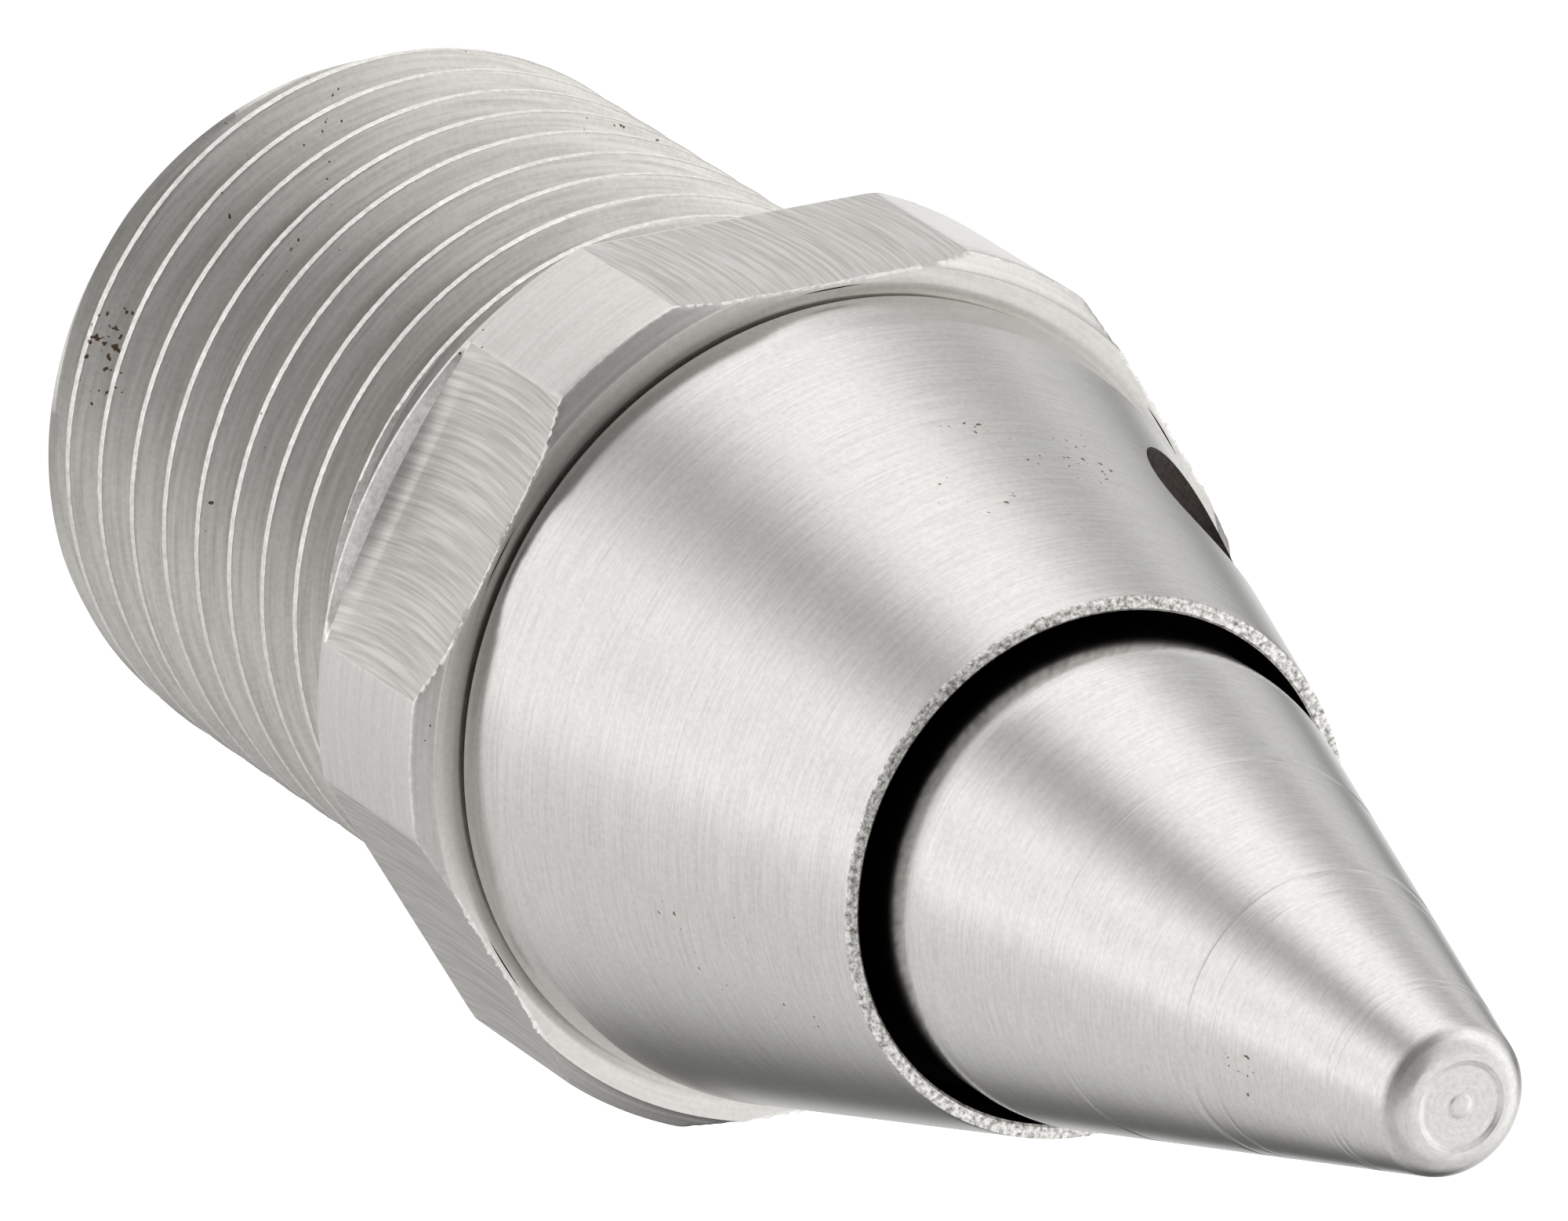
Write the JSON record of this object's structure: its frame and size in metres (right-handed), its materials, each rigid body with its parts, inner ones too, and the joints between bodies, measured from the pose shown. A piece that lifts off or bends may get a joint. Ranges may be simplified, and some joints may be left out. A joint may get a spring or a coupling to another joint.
{
  "type": "live center",
  "caption": "Short live center with a threaded shank, a milled wrench collar, a screwed-on conical nose cap and a separate point that turns on bearings inside it.",
  "frame": {"origin": "centre of the shank's flat rear end face", "axes": "+Z along the turning axis from the rear end face to the point, +X out of the middle of one wrench flat"},
  "size_m": [0.0194, 0.0194, 0.0474],
  "materials": {
    "shank_steel": "turned and milled, lightly burred",
    "cap_steel": "fine turned",
    "point_steel": "fine turned, faced tip",
    "plug_steel": "plain",
    "race_steel": "ground",
    "ball_steel": "polished",
    "cage_steel": "pressed",
    "spring_steel": "tempered",
    "seal_rubber": "matt"
  },
  "bodies": {
    "housing": {"shank_body": "shank_steel", "nose_cap": "cap_steel", "front_bearing_outer_race": "race_steel", "front_bearing_front_shield": "race_steel", "front_bearing_rear_shield": "race_steel", "preload_disc_spring": "spring_steel", "thrust_housing_washer": "race_steel", "thrust_shim": "spring_steel", "needle_cup": "race_steel", "cap_o_ring": "seal_rubber", "rear_plug": "plug_steel", "plug_o_ring": "seal_rubber"},
    "spindle": {"point_spindle": "point_steel", "front_bearing_inner_race": "race_steel", "lock_tab_washer": "spring_steel", "bearing_lock_nut": "spring_steel", "thrust_shaft_washer": "race_steel", "neck_seal": "seal_rubber", "tail_washer": "spring_steel", "tail_circlip": "spring_steel"},
    "front_cage": {"front_bearing_cage": "cage_steel", "front_bearing_balls": "ball_steel"},
    "thrust_cage_set": {"thrust_cage": "cage_steel", "thrust_balls": "ball_steel"},
    "needle_cage_set": {"needle_cage": "cage_steel", "needle_rollers": "ball_steel"}
  },
  "joints": [
    {"name": "spindle_spin", "type": "hinge", "parent": "housing", "child": "spindle", "pos_m": [0, 0, 0.02683], "axis": [0, 0, 1], "continuous": true},
    {"name": "front_cage_spin", "type": "hinge", "parent": "housing", "child": "front_cage", "pos_m": [0, 0, 0.02683], "axis": [0, 0, 1], "continuous": true},
    {"name": "thrust_cage_spin", "type": "hinge", "parent": "housing", "child": "thrust_cage_set", "pos_m": [0, 0, 0.01993], "axis": [0, 0, 1], "continuous": true},
    {"name": "needle_cage_spin", "type": "hinge", "parent": "housing", "child": "needle_cage_set", "pos_m": [0, 0, 0.01163], "axis": [0, 0, 1], "continuous": true}
  ],
  "couplings": [
    {"joint": "front_cage_spin", "follows": "spindle_spin", "ratio": 0.40075},
    {"joint": "thrust_cage_spin", "follows": "spindle_spin", "ratio": 0.5},
    {"joint": "needle_cage_spin", "follows": "spindle_spin", "ratio": 0.36545}
  ]
}
